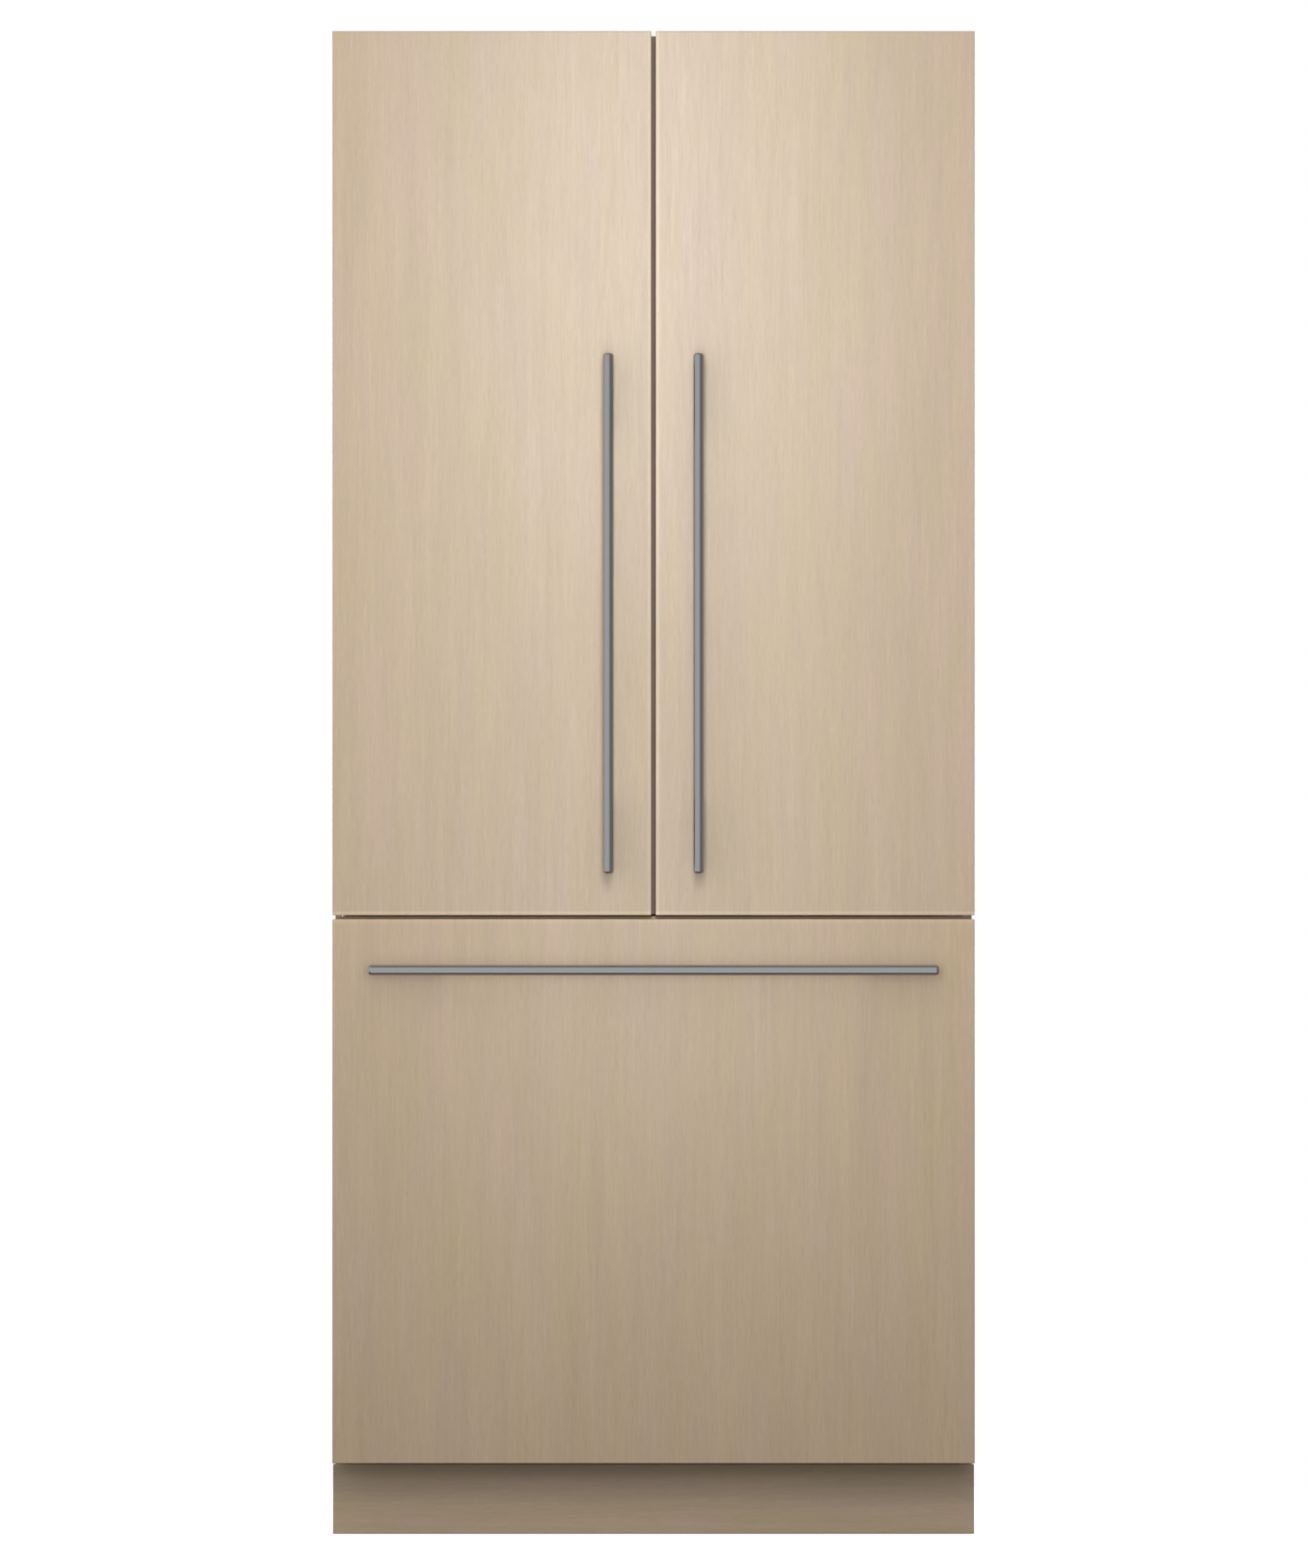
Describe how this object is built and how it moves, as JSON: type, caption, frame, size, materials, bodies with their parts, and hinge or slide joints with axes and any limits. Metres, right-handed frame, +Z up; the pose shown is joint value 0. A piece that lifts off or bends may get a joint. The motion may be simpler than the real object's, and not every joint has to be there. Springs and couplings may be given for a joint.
{
  "type": "french door refrigerator",
  "caption": "Tall built-in refrigerator with paired wood-fronted doors over a freezer drawer, bar handles, bins, shelves, crispers and machinery.",
  "frame": {"origin": "on the floor, under the middle of the whole width and depth", "axes": "the front faces -Y, +X is to the right seen from the front, +Z is up"},
  "size_m": [0.911, 0.674, 2.134],
  "materials": {
    "oak": "rift-cut oak veneer, clear matt lacquer",
    "bar_metal": "satin, bead-blasted",
    "painted_steel": "grey powder coat",
    "zinc_steel": "zinc-plated sheet",
    "white_plastic": "thermoformed, semi-matt",
    "clear_plastic": "clear injection-moulded",
    "shelf_glass": "clear float glass",
    "insulation": "foamed-in-place insulation",
    "black_plastic": "black, fine texture",
    "grey_rubber": "soft grey seal",
    "black_steel": "black enamel",
    "copper_tube": "bare tube",
    "fin_metal": "mill finish"
  },
  "bodies": {
    "cabinet": {"outer_wrapper": "painted_steel", "cabinet_core": "insulation", "face_frame": "painted_steel", "back_panel": "zinc_steel", "fridge_liner": "white_plastic", "freezer_liner": "white_plastic", "base_frame": "zinc_steel", "toe_kick": "oak", "compressor": "black_steel", "condenser_coil": "copper_tube", "condenser_fan_shroud": "black_plastic", "drain_pan": "black_plastic", "rear_cover": "zinc_steel", "power_inlet": "black_plastic", "evaporator_cover": "white_plastic", "evaporator_coil": "fin_metal", "air_duct": "white_plastic", "light_bar": "clear_plastic", "control_panel": "black_plastic", "shelf_1": "shelf_glass", "shelf_2": "shelf_glass", "shelf_3": "shelf_glass", "crisper_cover": "shelf_glass", "hinge_top_left": "zinc_steel", "hinge_top_right": "zinc_steel", "hinge_middle_left": "zinc_steel", "hinge_middle_right": "zinc_steel", "fixed_rail_left": "zinc_steel", "fixed_rail_right": "zinc_steel"},
    "left_door": {"left_door_panel": "oak", "left_door_shell": "white_plastic", "left_door_gasket": "grey_rubber", "left_door_handle": "bar_metal", "left_door_bin_1": "clear_plastic", "left_door_bin_2": "clear_plastic"},
    "right_door": {"right_door_panel": "oak", "right_door_shell": "white_plastic", "right_door_gasket": "grey_rubber", "right_door_handle": "bar_metal", "right_door_bin_1": "clear_plastic", "right_door_bin_2": "clear_plastic"},
    "freezer_drawer": {"drawer_panel": "oak", "drawer_shell": "white_plastic", "drawer_gasket": "grey_rubber", "drawer_handle": "bar_metal", "drawer_basket": "white_plastic", "drawer_rail_left": "zinc_steel", "drawer_rail_right": "zinc_steel"},
    "flip_mullion": {"flip_mullion": "painted_steel"},
    "freezer_tray": {"freezer_tray": "white_plastic"},
    "mid_rail_left": {"mid_rail_left": "zinc_steel"},
    "mid_rail_right": {"mid_rail_right": "zinc_steel"},
    "crisper_left": {"crisper_left": "clear_plastic"},
    "crisper_right": {"crisper_right": "clear_plastic"},
    "condenser_fan": {"condenser_fan": "black_plastic"},
    "evaporator_fan": {"evaporator_fan": "black_plastic"},
    "roller_left": {"roller_left": "black_plastic"},
    "roller_right": {"roller_right": "black_plastic"},
    "foot_left": {"foot_left": "black_plastic"},
    "foot_right": {"foot_right": "black_plastic"}
  },
  "joints": [
    {"name": "left_door_hinge", "type": "hinge", "parent": "cabinet", "child": "left_door", "pos_m": [-0.4375, -0.255, 1.5], "axis": [0, 0, -1], "range_deg": [0, 115]},
    {"name": "right_door_hinge", "type": "hinge", "parent": "cabinet", "child": "right_door", "pos_m": [0.4375, -0.255, 1.5], "axis": [0, 0, 1], "range_deg": [0, 115]},
    {"name": "mullion_fold", "type": "hinge", "parent": "left_door", "child": "flip_mullion", "pos_m": [-0.035, -0.19, 1.5], "axis": [0, 0, 1], "range_deg": [0, 90]},
    {"name": "drawer_slide", "type": "slide", "parent": "cabinet", "child": "freezer_drawer", "axis": [0, -1, 0], "range_m": [0, 0.42]},
    {"name": "mid_rail_left_slide", "type": "slide", "parent": "cabinet", "child": "mid_rail_left", "axis": [0, -1, 0], "range_m": [0, 0.21]},
    {"name": "mid_rail_right_slide", "type": "slide", "parent": "cabinet", "child": "mid_rail_right", "axis": [0, -1, 0], "range_m": [0, 0.21]},
    {"name": "freezer_tray_slide", "type": "slide", "parent": "cabinet", "child": "freezer_tray", "axis": [0, -1, 0], "range_m": [0, 0.21]},
    {"name": "crisper_left_slide", "type": "slide", "parent": "cabinet", "child": "crisper_left", "axis": [0, -1, 0], "range_m": [0, 0.06]},
    {"name": "crisper_right_slide", "type": "slide", "parent": "cabinet", "child": "crisper_right", "axis": [0, -1, 0], "range_m": [0, 0.06]},
    {"name": "condenser_fan_spin", "type": "hinge", "parent": "cabinet", "child": "condenser_fan", "pos_m": [0.0375, 0.218, 0.2225], "axis": [1, 0, 0], "continuous": true},
    {"name": "evaporator_fan_spin", "type": "hinge", "parent": "cabinet", "child": "evaporator_fan", "pos_m": [0, 0.216, 0.765], "axis": [0, 1, 0], "continuous": true},
    {"name": "roller_left_spin", "type": "hinge", "parent": "cabinet", "child": "roller_left", "pos_m": [-0.39, 0.27, 0.022], "axis": [1, 0, 0], "continuous": true},
    {"name": "roller_right_spin", "type": "hinge", "parent": "cabinet", "child": "roller_right", "pos_m": [0.39, 0.27, 0.022], "axis": [1, 0, 0], "continuous": true},
    {"name": "foot_left_turn", "type": "hinge", "parent": "cabinet", "child": "foot_left", "pos_m": [-0.4, -0.15, 0], "axis": [0, 0, 1], "continuous": true},
    {"name": "foot_right_turn", "type": "hinge", "parent": "cabinet", "child": "foot_right", "pos_m": [0.4, -0.15, 0], "axis": [0, 0, 1], "continuous": true}
  ],
  "couplings": [
    {"joint": "mid_rail_left_slide", "follows": "drawer_slide", "ratio": 0.5},
    {"joint": "mid_rail_right_slide", "follows": "drawer_slide", "ratio": 0.5},
    {"joint": "freezer_tray_slide", "follows": "drawer_slide", "ratio": 0.5}
  ]
}
